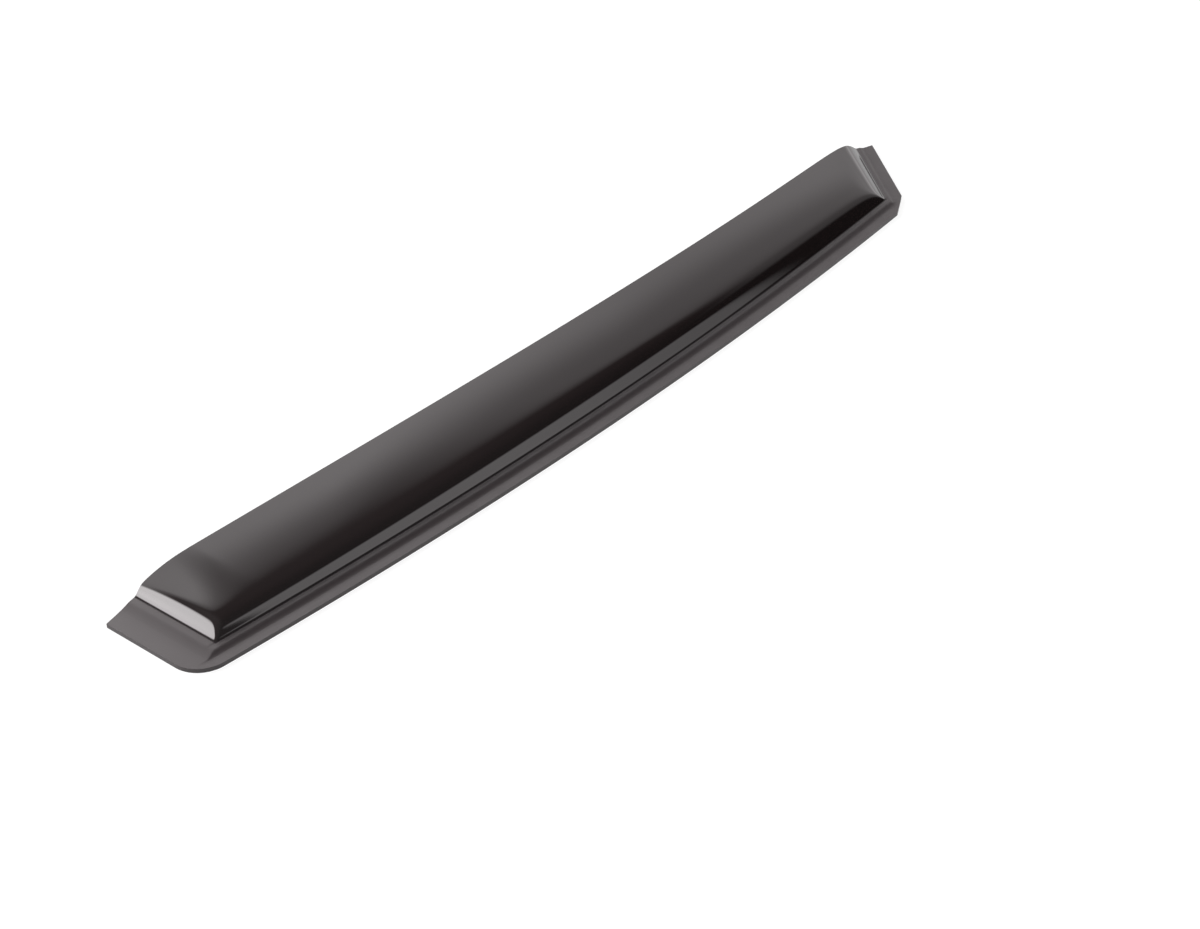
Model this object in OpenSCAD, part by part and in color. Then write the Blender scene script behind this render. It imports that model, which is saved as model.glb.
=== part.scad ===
// Rain deflector for a car side window.
// One smoked acrylic sheet, heat formed over a tool and trimmed to its outline.
// A flat C-shaped flange is bonded to the door frame. Inside it the sheet steps up to a
// narrow ledge, climbs a wall and runs out as a low crowned face to a free edge that
// stands clear of the glass.
// Plan positions are measured from the near tip along x and from the bonded edge along y.

/* [Sheet] */
// Thickness of the smoked sheet
sheet_t = 3; // [2:0.5:4]

/* [Plan outline] */
// Straight distance from the near tip to the far tip
tip_span = 779; // [700:1:860]
// Bow of the long bonded edge over that distance
bonded_bow = 18.2; // [12:0.2:24]
// Width of the sheet at the near tip
near_tip_w = 76; // [70:0.1:80]
// Width of the sheet at the far tip
far_tip_w = 69.4; // [64:0.1:73]
// Lean of the near trimmed edge from square
near_lean = 1.8; // [0:0.2:3]
// Lean of the far trimmed edge from square
far_lean = 40.1; // [32:0.1:45]
// Width to the free edge, run on to the near end
free_near_w = 86.4; // [84:0.1:90]
// Width to the free edge, run on to the far end
free_far_w = 79.1; // [77:0.1:83]
// Inward bow of the free edge
free_bow = 15.6; // [10:0.2:20]
// Extra inward bow toward the far end
free_skew = 5.5; // [0:0.5:8]
// Angle of the slanting cut behind the near tip
near_tip_cut = 11.8; // [8:0.2:16]
// Angle of the slanting cut behind the far tip
far_tip_cut = 17.7; // [12:0.1:24]
// Blend between the near cut and the free edge
near_tip_blend = 7; // [3:0.5:9]
// Blend between the far cut and the free edge
far_tip_blend = 2; // [1:0.5:5]
// Corner radius at the near end of the bonded edge
near_corner_r = 21; // [12:1:26]
// Corner cut, along each edge, at the far end of the bonded edge
far_corner_cut = 14; // [6:1:17]

/* [Flange and walls] */
// Distance from the bonded edge to the foot of the long wall
foot_in = 16.1; // [14:0.1:20]
// Distance from the near tip to the foot of the near wall
near_foot_in = 26.7; // [22:0.1:34]
// Lean of the near foot line from square
near_foot_lean = 2; // [0:0.2:4]
// Distance from the far trimmed edge to the foot of the far wall
far_foot_in = 15; // [13:0.5:18]
// Slope of the long wall
wall_slope = 52; // [42:1:58]
// Slope of the near wall
near_slope = 44; // [38:1:56]
// Slope of the far wall at its foot
far_slope = 38; // [30:1:46]
// Distance from the long foot out to the low step in the flange
long_ledge = 7.6; // [6:0.2:8.4]
// Distance from the near foot out to that step
near_ledge = 11.6; // [9:0.2:13]
// Distance from the far foot out to that step
far_ledge = 6; // [5.6:0.2:8]
// Height of the ledge above the flange at the foot of a wall
ledge_rise = 1.4; // [0.8:0.1:1.8]
// Slope of the step along the long side and the far end
step_slope = 27; // [20:1:34]
// Slope of the longer step at the near end
near_step_slope = 12; // [10:1:16]
// Slope of the ledge behind it
ledge_slope = 2; // [0:0.5:4]
// Softness of the hollow where the step leaves the flange
hollow_soft = 1.1; // [0.6:0.1:1.4]
// Softness of the brow where the step turns into the ledge
brow_soft = 0.6; // [0.4:0.1:0.9]
// Softness of the crisper brow at the near end
near_brow_soft = 0.25; // [0.15:0.05:0.9]
// Softness of the crease at the foot of the long and far walls
foot_fillet = 0.5; // [0.3:0.1:2]
// Softness of the wider crease at the foot of the near wall
near_foot_fillet = 1.3; // [0.5:0.1:2]
// How crisply the long wall turns over into the face
crest_sharpness = 5; // [4:0.5:8]
// How crisply the near wall turns over into the face
near_crest_sharpness = 7; // [4:0.5:10]
// How crisply the far wall turns over into the face
far_crest_sharpness = 2.4; // [2:0.1:4]

/* [Face] */
// Height of the face over the long foot, at the near end
face_near_h = 11; // [8:0.2:12]
// Height of the face over the long foot, at the far end
face_far_h = 11.5; // [9:0.1:13]
// Bow of that height along the length
face_bow = 3; // [0:0.1:5]
// Height of the free edge, run on to the near end
free_near_h = 12.4; // [11:0.1:16]
// Height of the free edge, run on to the far end
free_far_h = 14.6; // [13:0.1:18]
// Bow of the free edge height along the length
free_h_bow = 5.7; // [3:0.1:8]
// Extra height bow toward the far end
height_skew = 0.8; // [0:0.1:1.6]
// Crown of the face from the wall to the free edge
face_crown = 0.35; // [0:0.05:0.6]
// Droop of the free corner of the face over the near wall
near_droop = 4.6; // [0:0.2:6]
// Length over which that droop fades
near_droop_run = 48; // [30:1:60]
// How much of that droop is kept to the free edge
droop_power = 2; // [1:0.5:3]

/* [Finish] */
// Columns of facets along the plain middle of the sheet
mid_columns = 24; // [16:1:30]
// Rows of facets across the face
face_rows = 9; // [7:1:12]

/* [Hidden] */
bonded_r = (pow(tip_span / 2, 2) + pow(bonded_bow, 2)) / (2 * bonded_bow);
bonded_centre = [tip_span / 2, bonded_r - bonded_bow];
near_tip = [0, near_tip_w];
far_tip = [tip_span, far_tip_w];
near_inward = [cos(near_lean), sin(near_lean)];
far_inward = [-cos(far_lean), sin(far_lean)];
near_foot_inward = [cos(near_foot_lean), sin(near_foot_lean)];
// Step used to read the slope of the formed surface
probe = 0.02;
// Clearance that lets the trimming cutters pass right through the sheet
cut_clear = 2;
// Distance that the near corner circle runs over the two edges it joins
corner_over = 0.05;
// Reach of the fine facets inward from the foot of a wall
fine_run = 20;
// Reach of the near and far zones, where columns follow the end walls
end_zone = 80;
// Facets start this far outside the step, and are this far apart over it
step_lead = 2.4;
step_pitch = 1.3;
// Fine facets over the crease: how far before it, how far past it and how far apart
crease_lead = 1.5;
crease_past = 2.1;
crease_pitch = 0.9;
// Growth of the facet spacing from the crease up the wall and over the crest
crest_growth = 1.15;
// Facets from the crease to the end of that zone, for the long, near and far wall
long_steps = 9;
near_wall_steps = 16;
far_wall_steps = 18;
// Columns across the near flange
flange_columns = 2;
// Repeated steps that close a column in on the free border
border_passes = 14;

// Value on a chord from a to b with a bow that may lean toward the far end
function bowed(u, a, b, bow, skew) = a + (b - a) * u + 4 * u * (1 - u) * (bow + skew * (2 * u - 1));
// Smaller or larger of two values, rounded where they cross
function soften(a, b, k) = pow(max(k - abs(a - b), 0), 2) / (4 * k);
function soft_min(a, b, k) = min(a, b) - soften(a, b, k);
function soft_max(a, b, k) = max(a, b) + soften(a, b, k);
// Height at distance d past the foot of a wall: flat flange, step, ledge, then the wall
function wall_h(d, slope, ledge, rise_slope, brow, fillet) =
    let (step = soft_max(0, (d + ledge) * tan(rise_slope), hollow_soft))
    let (low = soft_min(step, ledge_rise + d * tan(ledge_slope), brow))
    soft_max(low, ledge_rise + d * tan(slope), fillet);

// Distances in from the bonded edge, the near foot and the far foot
function bonded_d(p) = bonded_r - norm(p - bonded_centre);
function near_foot_d(p) = (p - near_tip - [near_foot_in, 0]) * near_foot_inward;
function far_foot_d(p) = (p - far_tip) * far_inward - far_foot_in;

// Free edge, and the whole free border with the slanting cuts behind both tips
function free_y(x) = bowed(x / tip_span, free_near_w, free_far_w, -free_bow, -free_skew);
function near_cut_y(x) = near_tip_w + x * tan(near_tip_cut);
function far_cut_y(x) = far_tip_w + (tip_span - x) * tan(far_tip_cut);
function border_y(x) =
    soft_min(soft_min(free_y(x), near_cut_y(x), near_tip_blend), far_cut_y(x), far_tip_blend);

// Rise of the crowned face above the flange, before the walls cut it off
function face_lift(p) =
    let (u = p[0] / tip_span)
    let (low = bowed(u, face_near_h, face_far_h, face_bow, height_skew))
    let (high = bowed(u, free_near_h, free_far_h, free_h_bow, height_skew))
    let (full = bonded_d([p[0], free_y(p[0])]) - foot_in)
    let (s = max((bonded_d(p) - foot_in) / full, 0))
    let (fade = max(1 - max(near_foot_d(p), 0) / near_droop_run, 0))
    let (crowned = low + (high - low) * s * (1 + face_crown * (1 - s)))
    crowned - near_droop * pow(s, droop_power) * fade * fade - sheet_t;

// Lowest of several heights, rounded where they cross: the crest of a wall
function turned_over(heights, sharpness) =
    min(heights) <= 0
        ? 0
        : pow([for (h = heights) pow(h, -sharpness)] * [for (h = heights) 1], -1 / sharpness);

// Rise of the formed sheet above the flange
function lift(p) =
    let (long_d = bonded_d(p) - foot_in)
    let (near_d = near_foot_d(p))
    let (long_h = wall_h(long_d, wall_slope, long_ledge, step_slope, brow_soft, foot_fillet))
    let (far_h = wall_h(far_foot_d(p), far_slope, far_ledge, step_slope, brow_soft, foot_fillet))
    let (near_h = wall_h(near_d, near_slope, near_ledge, near_step_slope, near_brow_soft, near_foot_fillet))
    let (inner_face = turned_over([far_h, face_lift(p)], far_crest_sharpness))
    turned_over([near_h, turned_over([long_h, inner_face], crest_sharpness)], near_crest_sharpness);

// Outer skin, and the inner skin one sheet thickness below it, square to the surface
function outer_at(p) = [p[0], p[1], sheet_t + lift(p)];
function slope_at(p) = [
    (lift(p + [probe, 0]) - lift(p - [probe, 0])) / (2 * probe),
    (lift(p + [0, probe]) - lift(p - [0, probe])) / (2 * probe)
];
function inner_at(p) =
    let (g = slope_at(p))
    let (across = [-g[0], -g[1], 1])
    outer_at(p) - across * sheet_t / norm(across);

// Lower crossing of the column line x = x0 + m * y with the circle r about the bonded centre
function column_cross(x0, m, r) =
    let (dx = x0 - bonded_centre[0])
    let (a = 1 + m * m)
    let (b = m * dx - bonded_centre[1])
    let (c = dx * dx + bonded_centre[1] * bonded_centre[1] - r * r)
    let (y = (-b - sqrt(b * b - a * c)) / a)
    [x0 + m * y, y];
// Crossing of a column line with the free border, closed in by repeated steps
function column_end(x0, m, y = near_tip_w, left = border_passes) =
    left == 0 ? [x0 + m * y, y] : column_end(x0, m, border_y(x0 + m * y), left - 1);

// Distances past a foot, from the start of the step over the crease, wall and crest
function foot_steps(ledge, run, steps) = concat(
    [for (d = [-ledge - step_lead : step_pitch : -crease_lead - crease_pitch]) d],
    [for (d = [-crease_lead : crease_pitch : crease_past]) d],
    [for (k = [1 : steps]) crease_past + (run - crease_past) * pow(k / steps, crest_growth)]
);
near_steps = foot_steps(near_ledge, end_zone - near_foot_in, near_wall_steps);
far_steps = foot_steps(far_ledge, end_zone - far_foot_in, far_wall_steps);

// Columns as [x0, m]: along the near edge, fanning over the middle, along the far edge
near_m = -tan(near_lean);
near_foot_m = -tan(near_foot_lean);
far_m = tan(far_lean);
near_x0 = -near_tip_w * near_m;
near_foot_x0 = near_foot_in - near_tip_w * near_foot_m;
far_x0 = tip_span - far_tip_w * far_m;
near_step_x0 = near_foot_x0 + near_steps[0];
mid_from = near_foot_x0 + end_zone - near_foot_in;
mid_to = far_x0 - end_zone / cos(far_lean);
columns = concat(
    [for (k = [0 : flange_columns - 1])
        let (u = k / flange_columns)
        [near_x0 + (near_step_x0 - near_x0) * u, near_m + (near_foot_m - near_m) * u]],
    [for (d = near_steps) [near_foot_x0 + d, near_foot_m]],
    [for (k = [1 : mid_columns - 1])
        let (u = k / mid_columns)
        [mid_from + (mid_to - mid_from) * u, near_foot_m + (far_m - near_foot_m) * u]],
    [for (k = [len(far_steps) - 1 : -1 : 0]) [far_x0 - (far_foot_in + far_steps[k]) / cos(far_lean), far_m]],
    [[far_x0, far_m]]
);

// Rows: distances from the bonded edge over the flange and wall, then shares of the face
row_distances = concat([0], [for (d = foot_steps(long_ledge, fine_run, long_steps)) foot_in + d]);
function column_points(c) =
    let (last = column_cross(c[0], c[1], bonded_r - row_distances[len(row_distances) - 1]))
    let (end = column_end(c[0], c[1]))
    concat(
        [for (d = row_distances) column_cross(c[0], c[1], bonded_r - d)],
        [for (k = [1 : face_rows]) last + (end - last) * k / face_rows]
    );

plan = [for (c = columns) each column_points(c)];
n_cols = len(columns);
n_rows = len(row_distances) + face_rows;
n_skin = n_cols * n_rows;
skin_points = concat([for (p = plan) outer_at(p)], [for (p = plan) inner_at(p)]);

// Corner circle that runs a hair over the near trimmed edge and the bonded edge, so that it
// crosses both at a small angle and leaves no sliver where it would only touch them
near_along = [-sin(near_lean), cos(near_lean)];
near_centre_in = near_corner_r - corner_over;
near_offset = near_tip + near_inward * near_centre_in - bonded_centre;
near_half = near_offset * near_along;
near_slide = -near_half - sqrt(near_half * near_half - near_offset * near_offset
    + pow(bonded_r - near_centre_in, 2));
near_corner_c = bonded_centre + near_offset + near_along * near_slide;

// Ends of the straight cut across the far corner
far_corner = column_cross(far_x0, far_m, bonded_r);
far_cut_a = column_cross(far_corner[0] - far_corner_cut, 0, bonded_r);
far_cut_b = far_corner + [sin(far_lean), cos(far_lean)] * far_corner_cut;
far_cut_dir = (far_cut_b - far_cut_a) / norm(far_cut_b - far_cut_a);
far_cut_out = [far_cut_dir[1], -far_cut_dir[0]];

// The part's own origin: centre of its plan box, on the bonded face
y_max = max([for (p = skin_points) p[1]]);
plan_centre = [tip_span / 2, (y_max - bonded_bow) / 2];

smoke = [0.16, 0.15, 0.15];

// Facets between two neighbouring columns, for one skin
function skin_faces(offset, flip) = [
    for (i = [0 : n_cols - 2], j = [0 : n_rows - 2])
        let (a = offset + i * n_rows + j)
        let (b = a + n_rows)
        each flip ? [[a, b, b + 1], [a, b + 1, a + 1]] : [[a, b + 1, b], [a, a + 1, b + 1]]
];
// Facets that close the sheet's edge along a loop of outer skin points
function edge_faces(loop) = [
    for (k = [0 : len(loop) - 1])
        let (a = loop[k])
        let (b = loop[(k + 1) % len(loop)])
        each [[a, b, b + n_skin], [a, b + n_skin, a + n_skin]]
];
edge_loop = concat(
    [for (i = [0 : n_cols - 2]) i * n_rows],
    [for (j = [0 : n_rows - 2]) (n_cols - 1) * n_rows + j],
    [for (i = [n_cols - 1 : -1 : 1]) i * n_rows + n_rows - 1],
    [for (j = [n_rows - 1 : -1 : 1]) j]
);

// The sheet as it leaves the forming tool, with square corners
module formed_sheet() {
    polyhedron(
        points = skin_points,
        faces = concat(skin_faces(0, false), skin_faces(n_skin, true), edge_faces(edge_loop)),
        convexity = 6
    );
}

// Offcut removed outside the corner circle at the near end
module near_corner_offcut() {
    reach = near_corner_r + cut_clear;
    to_near = -near_inward * reach;
    to_bonded = (near_corner_c - bonded_centre) / norm(near_corner_c - bonded_centre) * reach;
    translate([near_corner_c[0], near_corner_c[1], -cut_clear])
        linear_extrude(sheet_t + 2 * cut_clear)
            difference() {
                polygon([[0, 0], to_near, to_near + to_bonded, to_bonded]);
                circle(r = near_corner_r);
            }
}

// Offcut removed by the straight cut at the far end
module far_corner_offcut() {
    run = far_cut_dir * cut_clear;
    out = far_cut_out * far_corner_cut;
    translate([0, 0, -cut_clear])
        linear_extrude(sheet_t + 2 * cut_clear)
            polygon([far_cut_a - run, far_cut_a - run + out, far_cut_b + run + out, far_cut_b + run]);
}

module deflector_shell() {
    color(smoke)
        translate([-plan_centre[0], -plan_centre[1], 0])
            difference() {
                formed_sheet();
                near_corner_offcut();
                far_corner_offcut();
            }
}

deflector_shell();
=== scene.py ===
# A window rain deflector of smoked acrylic, seen from its bonded side in a plain white studio.
import math

import bpy
import numpy as np
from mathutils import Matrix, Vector


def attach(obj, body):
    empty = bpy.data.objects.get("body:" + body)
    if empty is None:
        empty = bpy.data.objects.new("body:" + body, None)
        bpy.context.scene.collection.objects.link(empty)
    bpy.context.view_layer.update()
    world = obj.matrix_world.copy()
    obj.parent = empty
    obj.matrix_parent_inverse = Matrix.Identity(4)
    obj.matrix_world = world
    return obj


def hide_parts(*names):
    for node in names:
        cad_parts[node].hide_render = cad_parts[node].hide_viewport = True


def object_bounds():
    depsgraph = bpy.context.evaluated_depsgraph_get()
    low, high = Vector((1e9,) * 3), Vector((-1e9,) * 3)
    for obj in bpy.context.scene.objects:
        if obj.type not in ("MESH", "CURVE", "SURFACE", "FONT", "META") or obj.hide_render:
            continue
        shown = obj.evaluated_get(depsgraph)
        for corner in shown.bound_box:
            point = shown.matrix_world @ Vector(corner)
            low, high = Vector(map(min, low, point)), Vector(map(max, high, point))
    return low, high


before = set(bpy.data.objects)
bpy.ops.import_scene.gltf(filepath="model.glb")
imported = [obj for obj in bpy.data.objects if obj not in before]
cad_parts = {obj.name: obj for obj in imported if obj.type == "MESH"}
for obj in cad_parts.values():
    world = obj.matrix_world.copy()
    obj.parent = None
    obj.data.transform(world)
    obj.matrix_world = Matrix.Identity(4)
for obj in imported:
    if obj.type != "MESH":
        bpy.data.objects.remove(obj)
cad_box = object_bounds()

# The deflector: one sheet of smoked acrylic, heat formed and trimmed. Inside its flat C-shaped
# flange a low step leads to a ledge. From there it climbs a wall at three sides, turns over a
# rounded crest and runs out as a crowned face to its free edge. Sizes in mm from the near tip.
MM = 0.001
sheet_t = 3.0
tip_span = 779.0
bonded_bow = 18.2
near_tip_w, far_tip_w = 76.0, 69.4
near_lean, far_lean = math.radians(1.8), math.radians(40.1)
free_near_w, free_far_w, free_bow, free_skew = 86.4, 79.1, 15.6, 5.5
near_tip_cut, far_tip_cut = math.radians(11.8), math.radians(17.7)
near_tip_blend, far_tip_blend = 7.0, 2.0
near_corner_r, far_corner_cut = 21.0, 14.0

# Flange, the low stepped ledge inside it, and the walls
foot_in, near_foot_in, far_foot_in = 16.1, 26.7, 15.0
near_foot_lean = math.radians(2.0)
wall_slope, near_slope, far_slope = math.radians(52.0), math.radians(44.0), math.radians(38.0)
long_ledge, near_ledge, far_ledge = 7.6, 11.6, 6.0
step_slope, near_step_slope, ledge_slope = math.radians(27.0), math.radians(12.0), math.radians(2.0)
ledge_rise, hollow_soft = 1.4, 1.1
brow_soft, near_brow_soft = 0.6, 0.25
foot_fillet, near_foot_fillet = 0.5, 1.3
crest_sharpness, near_crest_sharpness, far_crest_sharpness = 5.0, 7.0, 2.4

# Heights of the face over the long foot and along the free edge
face_near_h, face_far_h, face_bow = 11.0, 11.5, 3.0
free_near_h, free_far_h, free_h_bow, height_skew = 12.4, 14.6, 5.7, 0.8
face_crown, near_droop, near_droop_run, droop_power = 0.35, 4.6, 48.0, 2

bonded_r = ((tip_span / 2) ** 2 + bonded_bow**2) / (2 * bonded_bow)
bonded_centre = np.array([tip_span / 2, bonded_r - bonded_bow])
near_inward = np.array([math.cos(near_lean), math.sin(near_lean)])
far_inward = np.array([-math.cos(far_lean), math.sin(far_lean)])
near_foot_inward = np.array([math.cos(near_foot_lean), math.sin(near_foot_lean)])
near_tip = np.array([0.0, near_tip_w])
far_tip = np.array([tip_span, far_tip_w])


def bowed(u, start, end, bow, skew):
    """A value on a chord from start to end with a bow that may lean toward the far end."""
    return start + (end - start) * u + 4 * u * (1 - u) * (bow + skew * (2 * u - 1))


def soften(a, b, width):
    """What rounding takes off where two heights cross."""
    return np.maximum(width - np.abs(a - b), 0) ** 2 / (4 * width)


def soft_min(a, b, width):
    return np.minimum(a, b) - soften(a, b, width)


def soft_max(a, b, width):
    return np.maximum(a, b) + soften(a, b, width)


def wall_h(d, slope, ledge, rise_slope, brow, fillet):
    """Height at distance d past a wall's foot: flat flange, small step, ledge, then the wall."""
    step = (d + ledge) * math.tan(rise_slope)
    top = ledge_rise + d * math.tan(ledge_slope)
    low = soft_min(soft_max(0 * d, step, hollow_soft), top, brow)
    return soft_max(low, ledge_rise + d * math.tan(slope), fillet)


def bonded_d(p):
    return bonded_r - np.linalg.norm(p - bonded_centre, axis=-1)


def near_foot_d(p):
    return (p - near_tip - [near_foot_in, 0]) @ near_foot_inward


def far_foot_d(p):
    return (p - far_tip) @ far_inward - far_foot_in


def free_y(x):
    return bowed(x / tip_span, free_near_w, free_far_w, -free_bow, -free_skew)


def border_y(x):
    """The free border: the bowed free edge, trimmed by a slanting cut behind each tip."""
    near_cut = near_tip_w + x * math.tan(near_tip_cut)
    far_cut = far_tip_w + (tip_span - x) * math.tan(far_tip_cut)
    return soft_min(soft_min(free_y(x), near_cut, near_tip_blend), far_cut, far_tip_blend)


def face_lift(p):
    """Rise of the crowned face above the flange, before the walls cut it off."""
    x = p[..., 0]
    low = bowed(x / tip_span, face_near_h, face_far_h, face_bow, height_skew)
    high = bowed(x / tip_span, free_near_h, free_far_h, free_h_bow, height_skew)
    full = bonded_d(np.stack([x, free_y(x)], -1)) - foot_in
    s = np.maximum((bonded_d(p) - foot_in) / full, 0)
    fade = np.maximum(1 - np.maximum(near_foot_d(p), 0) / near_droop_run, 0)
    crowned = low + (high - low) * s * (1 + face_crown * (1 - s))
    return crowned - near_droop * s**droop_power * fade**2 - sheet_t


def turned_over(heights, sharpness):
    """The lowest of several heights, rounded where they cross: the crest of a wall."""
    heights = np.stack(heights)
    rounded = (np.maximum(heights, 1e-6) ** -sharpness).sum(0) ** (-1 / sharpness)
    return np.where(heights.min(0) <= 0, 0, rounded)


def lift(p):
    """Rise of the formed sheet above the flange."""
    far = wall_h(far_foot_d(p), far_slope, far_ledge, step_slope, brow_soft, foot_fillet)
    long = wall_h(bonded_d(p) - foot_in, wall_slope, long_ledge, step_slope, brow_soft, foot_fillet)
    near = wall_h(
        near_foot_d(p), near_slope, near_ledge, near_step_slope, near_brow_soft, near_foot_fillet
    )
    inner_face = turned_over([far, face_lift(p)], far_crest_sharpness)
    walled_face = turned_over([long, inner_face], crest_sharpness)
    return turned_over([near, walled_face], near_crest_sharpness)


def skins(p):
    """Outer skin, and the inner skin one thickness below it, square to the surface."""
    probe = 0.02
    slope_x = (lift(p + [probe, 0]) - lift(p - [probe, 0])) / (2 * probe)
    slope_y = (lift(p + [0, probe]) - lift(p - [0, probe])) / (2 * probe)
    across = np.stack([-slope_x, -slope_y, np.ones_like(slope_x)], -1)
    across *= sheet_t / np.linalg.norm(across, axis=-1, keepdims=True)
    outer = np.concatenate([p, (sheet_t + lift(p))[..., None]], -1)
    return outer, outer - across


def column_cross(x0, m, r):
    """Where the column line x = x0 + m * y crosses the circle r about the bonded centre."""
    dx = x0 - bonded_centre[0]
    a, b = 1 + m * m, m * dx - bonded_centre[1]
    y = (-b - np.sqrt(b * b - a * (dx * dx + bonded_centre[1] ** 2 - r * r))) / a
    return np.stack([x0 + m * y, y], -1)


def runs(*stops):
    """Stations from the first stop on: each later stop is (end, step)."""
    out = [np.array([stops[0]])]
    for end, step in stops[1:]:
        start = out[-1][-1]
        out.append(np.linspace(start, end, max(round((end - start) / step), 1) + 1)[1:])
    return np.concatenate(out)


# Columns lie along the near edge at first, fan over the middle and end along the far edge.
# They are fine from the ledge over the crest, where the reflections bend.
end_zone, border_steps, face_rows = 80.0, 20, 26
near_crest_run, far_crest_run, long_crest_run = 22.0, 52.0, 16.0
flat_margin, far_margin, past_crest = 2.0, 4.0, 6.0
near_m, near_foot_m, far_m = -math.tan(near_lean), -math.tan(near_foot_lean), math.tan(far_lean)
near_x0 = -near_tip_w * near_m
near_foot_x0 = near_foot_in - near_tip_w * near_foot_m
near_zone_x0 = near_foot_x0 + end_zone - near_foot_in
far_x0 = tip_span - far_tip_w * far_m
far_zone_x0 = far_x0 - end_zone / math.cos(far_lean)
far_foot_x0 = far_x0 - far_foot_in / math.cos(far_lean)
column_x0 = runs(
    near_x0, (near_foot_x0 - near_ledge - flat_margin, 4), (near_foot_x0 + near_crest_run, 0.6),
    (near_zone_x0, 1.6), (far_zone_x0, 2.8), (far_foot_x0 - far_crest_run, 1.6),
    (far_foot_x0 + far_ledge + far_margin, 0.9), (far_x0, 3),
)
column_m = np.interp(
    column_x0,
    [near_x0, near_foot_x0, near_zone_x0, far_zone_x0, far_x0],
    [near_m, near_foot_m, near_foot_m, far_m, far_m],
)
crest_end = foot_in + long_crest_run
row_d = runs(
    0.0, (foot_in - long_ledge - flat_margin, 2), (crest_end, 0.5), (crest_end + past_crest, 1)
)
row_points = np.stack([column_cross(column_x0, column_m, bonded_r - d) for d in row_d], 1)
border = np.full_like(column_x0, near_tip_w)
for _ in range(border_steps):
    border = border_y(column_x0 + column_m * border)
border_points = np.stack([column_x0 + column_m * border, border], -1)
face_shares = np.linspace(0, 1, face_rows + 1)[1:, None]
face_points = row_points[:, -1:] + (border_points[:, None] - row_points[:, -1:]) * face_shares
plan = np.concatenate([row_points, face_points], 1)


def trim_corner(p, centre, reach, out_a, out_b, straight):
    """Draws the flange in between two outward directions, to an arc or to a straight cut."""
    span = math.acos(out_a @ out_b)
    middle = (out_a + out_b) / np.linalg.norm(out_a + out_b)
    away = p - centre
    size = np.maximum(np.linalg.norm(away, axis=-1), 1e-9)
    along = away / size[..., None]
    square = np.maximum(along @ out_a, along @ out_b)
    inside = along @ middle >= math.cos(span / 2)
    trimmed = math.cos(span / 2) * square / (along @ middle) if straight else square
    share = np.clip(2 * size * square / reach - 1, 0, 1)
    scale = np.where(inside, 1 + (trimmed - 1) * share, 1)
    return centre + away * scale[..., None]


def away_from_bonded_centre(p):
    return (p - bonded_centre) / np.linalg.norm(p - bonded_centre)


# The near corner is rounded, with its centre at the same distance from both edges
near_along = np.array([-math.sin(near_lean), math.cos(near_lean)])
offset = near_tip + near_inward * near_corner_r - bonded_centre
half = offset @ near_along
slide = -half - math.sqrt(half**2 - offset @ offset + (bonded_r - near_corner_r) ** 2)
near_centre = bonded_centre + offset + near_along * slide
plan = trim_corner(
    plan, near_centre, near_corner_r, -near_inward, away_from_bonded_centre(near_centre), False
)
# The far corner is cut straight, by the same length along both edges
far_corner = plan[-1, 0]
far_along = np.array([math.sin(far_lean), math.cos(far_lean)])
bonded_out = away_from_bonded_centre(far_corner)
turn = math.acos(-far_inward @ bonded_out)
far_reach = far_corner_cut / math.tan(turn / 2)
far_centre = far_corner + far_along * far_corner_cut + far_inward * far_reach
plan = trim_corner(plan, far_centre, far_reach, -far_inward, bonded_out, True)

outer, inner = skins(plan)
columns, rows = plan.shape[:2]
index = np.arange(columns * rows).reshape(columns, rows)
quads = np.stack([index[:-1, :-1], index[1:, :-1], index[1:, 1:], index[:-1, 1:]], -1)
quads = quads.reshape(-1, 4)
rim = np.concatenate([index[:-1, 0], index[-1, :-1], index[:0:-1, -1], index[0, :0:-1]])
rim_next = np.roll(rim, -1)
under = columns * rows
edge_quads = np.stack([rim, rim + under, rim_next + under, rim_next], -1)
faces = np.concatenate([quads, quads[:, ::-1] + under, edge_quads])

# The part's origin is the centre of its plan box, on the bonded face
plan_centre = np.array([tip_span / 2, (border_points[:, 1].max() - bonded_bow) / 2, 0])
points = (np.concatenate([outer.reshape(-1, 3), inner.reshape(-1, 3)]) - plan_centre) * MM
points = np.clip(points, cad_box[0], cad_box[1])
mesh = bpy.data.meshes.new("smoked_sheet")
mesh.from_pydata(points.tolist(), [], faces.tolist())
mesh.shade_smooth()
mesh.validate()

# How satin each point is, which also sets how far painted light pales it: 1 on the flange and its
# ledge, and 0 from just before the crease
satin_margin = 0.4
foot_d = np.minimum(np.minimum(bonded_d(plan) - foot_in, near_foot_d(plan)), far_foot_d(plan))
satin_and_painted_light = np.clip(-foot_d - satin_margin, 0, 1).reshape(-1)
mesh.attributes.new("satin_and_painted_light", "FLOAT", "POINT").data.foreach_set(
    "value", np.concatenate([satin_and_painted_light, satin_and_painted_light]).astype(np.float32)
)
deflector = bpy.data.objects.new("smoked_sheet", mesh)
bpy.context.collection.objects.link(deflector)

# The trimmed edges are flame polished, which rounds them by 0.35 mm
polish = deflector.modifiers.new("flame_polished_edges", "BEVEL")
polish.limit_method = "ANGLE"
polish.angle_limit = math.radians(60)
polish.width = 0.35 * MM
polish.segments = 3
polish.harden_normals = True


def linear(hex_colour):
    """An sRGB hex colour as linear RGBA."""
    out = []
    for i in (1, 3, 5):
        c = int(hex_colour[i:i + 2], 16) / 255
        out.append(c / 12.92 if c <= 0.04045 else ((c + 0.055) / 1.055) ** 2.4)
    return (*out, 1.0)


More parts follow.
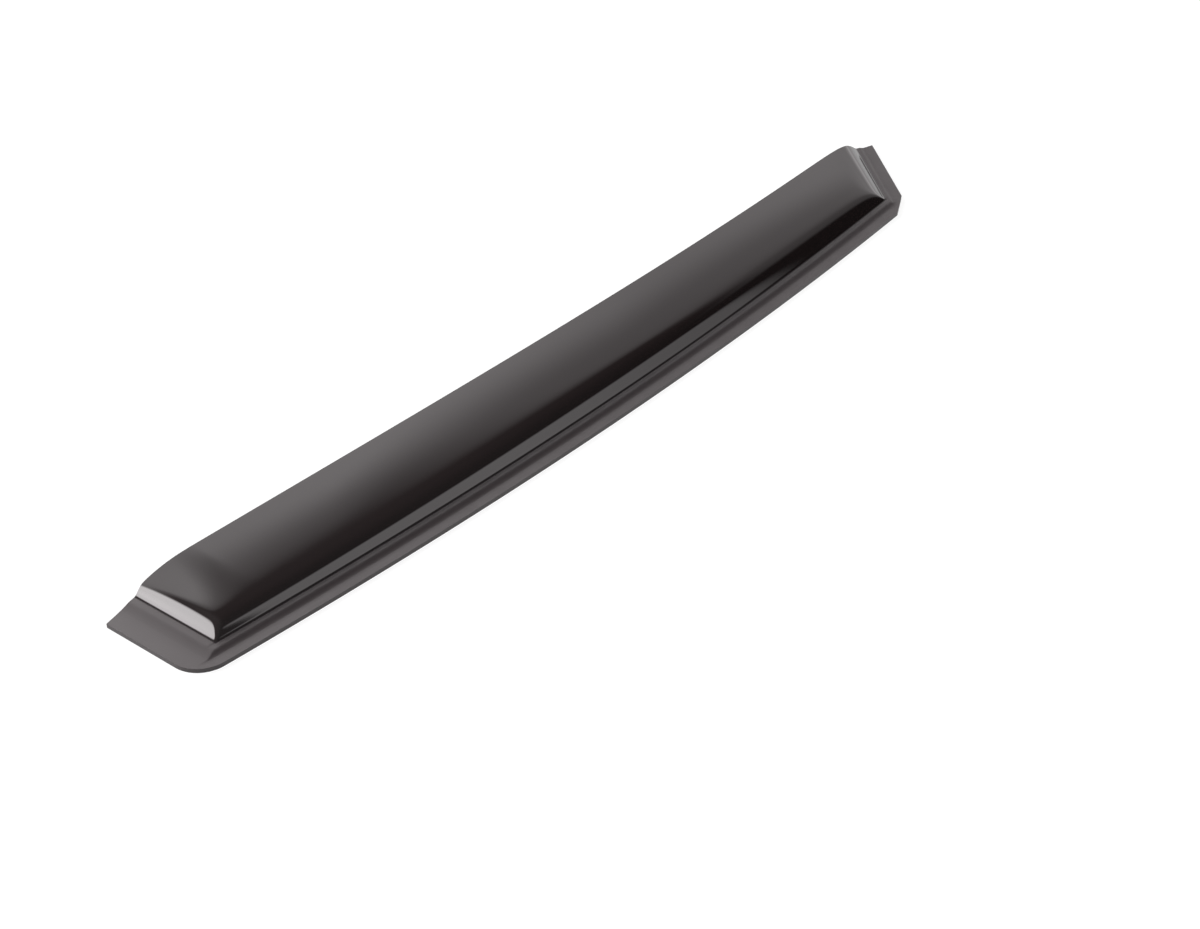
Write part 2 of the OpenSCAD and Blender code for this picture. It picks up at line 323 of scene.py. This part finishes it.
def add_node(tree, kind, inputs=None, **settings):
    """Adds a node with its settings. An input that is a socket is linked, any other is a value."""
    node = tree.nodes.new(kind)
    for name, value in settings.items():
        setattr(node, name, value)
    for name, value in (inputs or {}).items():
        if isinstance(value, bpy.types.NodeSocket):
            tree.links.new(value, node.inputs[name])
        else:
            node.inputs[name].default_value = value
    return node


# Smoked acrylic (PMMA), cast and heat formed: a deep brown black with a clear gloss. The
# flange was pressed flat against the tool, which leaves it satin. Its paler colour is painted light,
# standing in for the white floor seen through the thin flange.
acrylic = bpy.data.materials.new("smoked_pmma_formed")
acrylic.use_nodes = True
tree = acrylic.node_tree
tree.nodes.clear()
where = add_node(tree, "ShaderNodeTexCoord").outputs["Object"]
satin_and_painted_light_share = add_node(tree, "ShaderNodeAttribute", attribute_name="satin_and_painted_light").outputs["Fac"]

# Its grain is about 0.5 mm across and 0.02 mm deep. The roughness wanders over 15 mm or so.
grain_size, grain_depth, patch_size = 0.5 * MM, 0.02 * MM, 15 * MM
gloss_range, satin_range = (0.03, 0.045), (0.33, 0.39)
noise_low, noise_high = 0.3, 0.7
grain, patches = (
    add_node(tree, "ShaderNodeTexNoise", {"Vector": where, "Scale": 1 / size, "Detail": detail})
    for size, detail in ((grain_size, 2.0), (patch_size, 3.0))
)
gloss_rough, satin_rough = (
    add_node(tree, "ShaderNodeMapRange", {
        "Value": patches.outputs["Fac"], "From Min": noise_low, "From Max": noise_high,
        "To Min": smoothest, "To Max": roughest}).outputs[0]
    for smoothest, roughest in (gloss_range, satin_range)
)
roughness = add_node(tree, "ShaderNodeMix", {
    "Factor": satin_and_painted_light_share, "A": gloss_rough, "B": satin_rough})
# Painted light: the flange's paler colour stands in for the white floor seen through it where it
# lies flat on the floor.
tint_and_painted_light = add_node(tree, "ShaderNodeMix", {
    "Factor": satin_and_painted_light_share, "A": linear("#160F0F"), "B": linear("#322D2E")}, data_type="RGBA")
bump = add_node(tree, "ShaderNodeBump", {
    "Height": grain.outputs["Fac"], "Strength": 0.15, "Distance": grain_depth})
surface = add_node(tree, "ShaderNodeBsdfPrincipled", {
    "Base Color": tint_and_painted_light.outputs["Result"], "Roughness": roughness.outputs["Result"],
    "Normal": bump.outputs["Normal"], "IOR": 1.49})
add_node(tree, "ShaderNodeOutputMaterial", {"Surface": surface.outputs["BSDF"]})
mesh.materials.append(acrylic)

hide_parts("deflector_shell")
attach(deflector, "root")

# The studio floor: white paper that runs out of sight on all sides. The camera and mirror
# rays see it as white, less a faint shadow under the sheet. It lights nothing by itself.
floor_half, floor_gap = 30.0, 0.2 * MM
floor_mesh = bpy.data.meshes.new("white_floor")
floor_mesh.from_pydata(
    [(-floor_half, -floor_half, 0), (floor_half, -floor_half, 0),
     (floor_half, floor_half, 0), (-floor_half, floor_half, 0)], [], [(0, 1, 2, 3)])
floor = bpy.data.objects.new("white_floor", floor_mesh)
floor.location.z = -floor_gap
bpy.context.collection.objects.link(floor)
paper = bpy.data.materials.new("white_paper")
paper.use_nodes = True
tree = paper.node_tree
tree.nodes.clear()
rays = add_node(tree, "ShaderNodeLightPath").outputs
seen = rays["Is Camera Ray"]
for ray in ("Is Glossy Ray", "Is Transmission Ray"):
    seen = add_node(tree, "ShaderNodeMath", {0: seen, 1: rays[ray]}, operation="MAXIMUM").outputs[0]
white = add_node(tree, "ShaderNodeEmission", {"Color": linear("#FFFFFF"), "Strength": 0.9})
shade = add_node(tree, "ShaderNodeBsdfDiffuse", {"Color": linear("#6F6F6F")})
shown = add_node(tree, "ShaderNodeAddShader", {0: white.outputs[0], 1: shade.outputs[0]})
plain = add_node(tree, "ShaderNodeBsdfDiffuse", {"Color": linear("#E7E7E7")})
mix = add_node(tree, "ShaderNodeMixShader", {0: seen, 1: plain.outputs[0], 2: shown.outputs[0]})
add_node(tree, "ShaderNodeOutputMaterial", {"Surface": mix.outputs[0]})
floor_mesh.materials.append(paper)

# The studio round it, as the world: a dark ceiling, a wide softbox over the free side with a
# dimmer border that also runs over the far end, an upright panel on the bonded side and a
# small bright box at the near end. Angles are in degrees, "across" is toward the free side.
world = bpy.data.worlds.new("studio")
bpy.context.scene.world = world
world.use_nodes = True
tree = world.node_tree
tree.nodes.clear()
generated = add_node(tree, "ShaderNodeTexCoord").outputs["Generated"]
direction = add_node(tree, "ShaderNodeSeparateXYZ", {"Vector": generated}).outputs
to_bonded = add_node(tree, "ShaderNodeMath", {0: direction["Y"], 1: -1.0}, operation="MULTIPLY")
across, over_far, round_bonded, along, height = (
    add_node(tree, "ShaderNodeMath", {
        0: add_node(tree, "ShaderNodeMath", {0: a, 1: b}, operation=operation).outputs[0],
    }, operation="DEGREES").outputs[0]
    for operation, a, b in (
        ("ARCTAN2", direction["Y"], direction["Z"]),
        ("ARCTAN2", direction["X"], direction["Z"]),
        ("ARCTAN2", direction["X"], to_bonded.outputs[0]),
        ("ARCSINE", direction["X"], 0.0),
        ("ARCSINE", direction["Z"], 0.0),
    )
)


def shaped(level, *passages):
    """A light's level times soft passages: each runs from 0 at start to 1 at end, or low to high."""
    for value, start, end, *levels in passages:
        low, high = levels or (0.0, 1.0)
        passage = add_node(tree, "ShaderNodeMapRange", {
            "Value": value, "From Min": start, "From Max": end, "To Min": low, "To Max": high,
        }, interpolation_type="SMOOTHSTEP")
        level = add_node(tree, "ShaderNodeMath", {
            0: level, 1: passage.outputs[0]}, operation="MULTIPLY").outputs[0]
    return level


# The softbox's lower edge is bowed: it drops from both ends to its lowest place, 40.6 degrees
# along. The dark ceiling stops at it, and both are sharper toward the near end.
bow = 4.0
for start, end, rise in ((26.089, 30.6, -2.12), (30.6, 40.574, -1.995), (40.574, 55.815, 4.115)):
    stretch = add_node(tree, "ShaderNodeMapRange", {
        "Value": along, "From Min": start, "From Max": end, "To Max": rise})
    bow = add_node(tree, "ShaderNodeMath", {0: bow, 1: stretch.outputs[0]}).outputs[0]
past_edge = add_node(tree, "ShaderNodeMath", {0: across, 1: bow}, operation="SUBTRACT").outputs[0]
dark_edge, border_edge, bright_edge, full_edge = (
    shaped(1.0, (along, 30.5, 35, near_end, far_end))
    for near_end, far_end in ((35.3, 35.8), (36.9, 38.4), (36.6, 35.4), (38.6, 39.8))
)

# The softbox's dim border meets the panel over the far end, and the dark ceiling's corner
# between them is rounded. Both lie where it isn't dark.
x_and_y = add_node(tree, "ShaderNodeMath", {0: direction["X"], 1: direction["Y"]})
corner = add_node(tree, "ShaderNodeMath", {
    0: x_and_y.outputs[0], 1: direction["Z"]}, operation="DIVIDE")
rounding = shaped(1.0, (corner.outputs[0], 1.46, 1.66), (across, 5, 20))
unrounded = add_node(tree, "ShaderNodeMath", {0: 1.0, 1: rounding}, operation="SUBTRACT")
dark = shaped(unrounded.outputs[0], (past_edge, border_edge, dark_edge), (over_far, 47.5, 43.5))
lit = add_node(tree, "ShaderNodeMath", {0: 1.0, 1: dark}, operation="SUBTRACT")
low_boost = shaped(1.0, (along, 34, 50, 3.3, 0.3))

lights = [
    # The dark ceiling, which is lighter toward the near end
    shaped(1.0, (along, 10, 27, 0.22, 0.0)),
    shaped(1.0, (along, 27, 50, 0.2, 0.055)),
    # The dim border and the panel over the far end
    shaped(lit.outputs[0], (across, 22, 39, 0.43, 0.78), (across, -27, 3), (across, 80, 70)),
    # The softbox, which dims toward both ends. Its low part is brighter, where the flange sees it.
    shaped(1.0, (past_edge, bright_edge, full_edge), (across, 78, 68), (along, 32, 44, 1.38, 0.55),
           (along, 46, 62, 1.0, 0.35), (along, 15, 24, 0.85, 1.0),
           (across, 47, 54, 1.0, low_boost)),
    # The upright panel on the bonded side
    shaped(1.0, (across, -49, -54), (round_bonded, 54, 50), (round_bonded, 24.4, 25.8),
           (along, 32, 48, 2.05, 1.2), (height, 8, 14)),
    # The bright box at the near end
    shaped(9.3, (along, -12, -25), (along, -56, -50), (across, 35, 40), (across, 66, 62)),
    # The white room's light along the horizon
    shaped(1.0, (height, 12, 2)),
]
total = lights[0]
for light in lights[1:]:
    total = add_node(tree, "ShaderNodeMath", {0: total, 1: light}).outputs[0]
glow = add_node(tree, "ShaderNodeBackground", {"Color": linear("#FFFBFC"), "Strength": total})
add_node(tree, "ShaderNodeOutputWorld", {"Surface": glow.outputs[0]})

# The camera: a long lens, 1.4 m from the deflector and 36 degrees above the floor, placed by
# a fit of both deflectors' outlines in the photograph
camera = bpy.data.objects.new("camera", bpy.data.cameras.new("camera"))
bpy.context.collection.objects.link(camera)
camera.data.sensor_width = 36
camera.data.lens = 67.3
camera.location = (-0.9760, -0.8226, 0.8452)
look_at = Vector((-0.0817, -0.0742, 0.00165))
camera.rotation_euler = (look_at - camera.location).to_track_quat("-Z", "Y").to_euler()
bpy.context.scene.camera = camera
bpy.context.scene.view_settings.view_transform = "Standard"

bpy.context.view_layer.update()
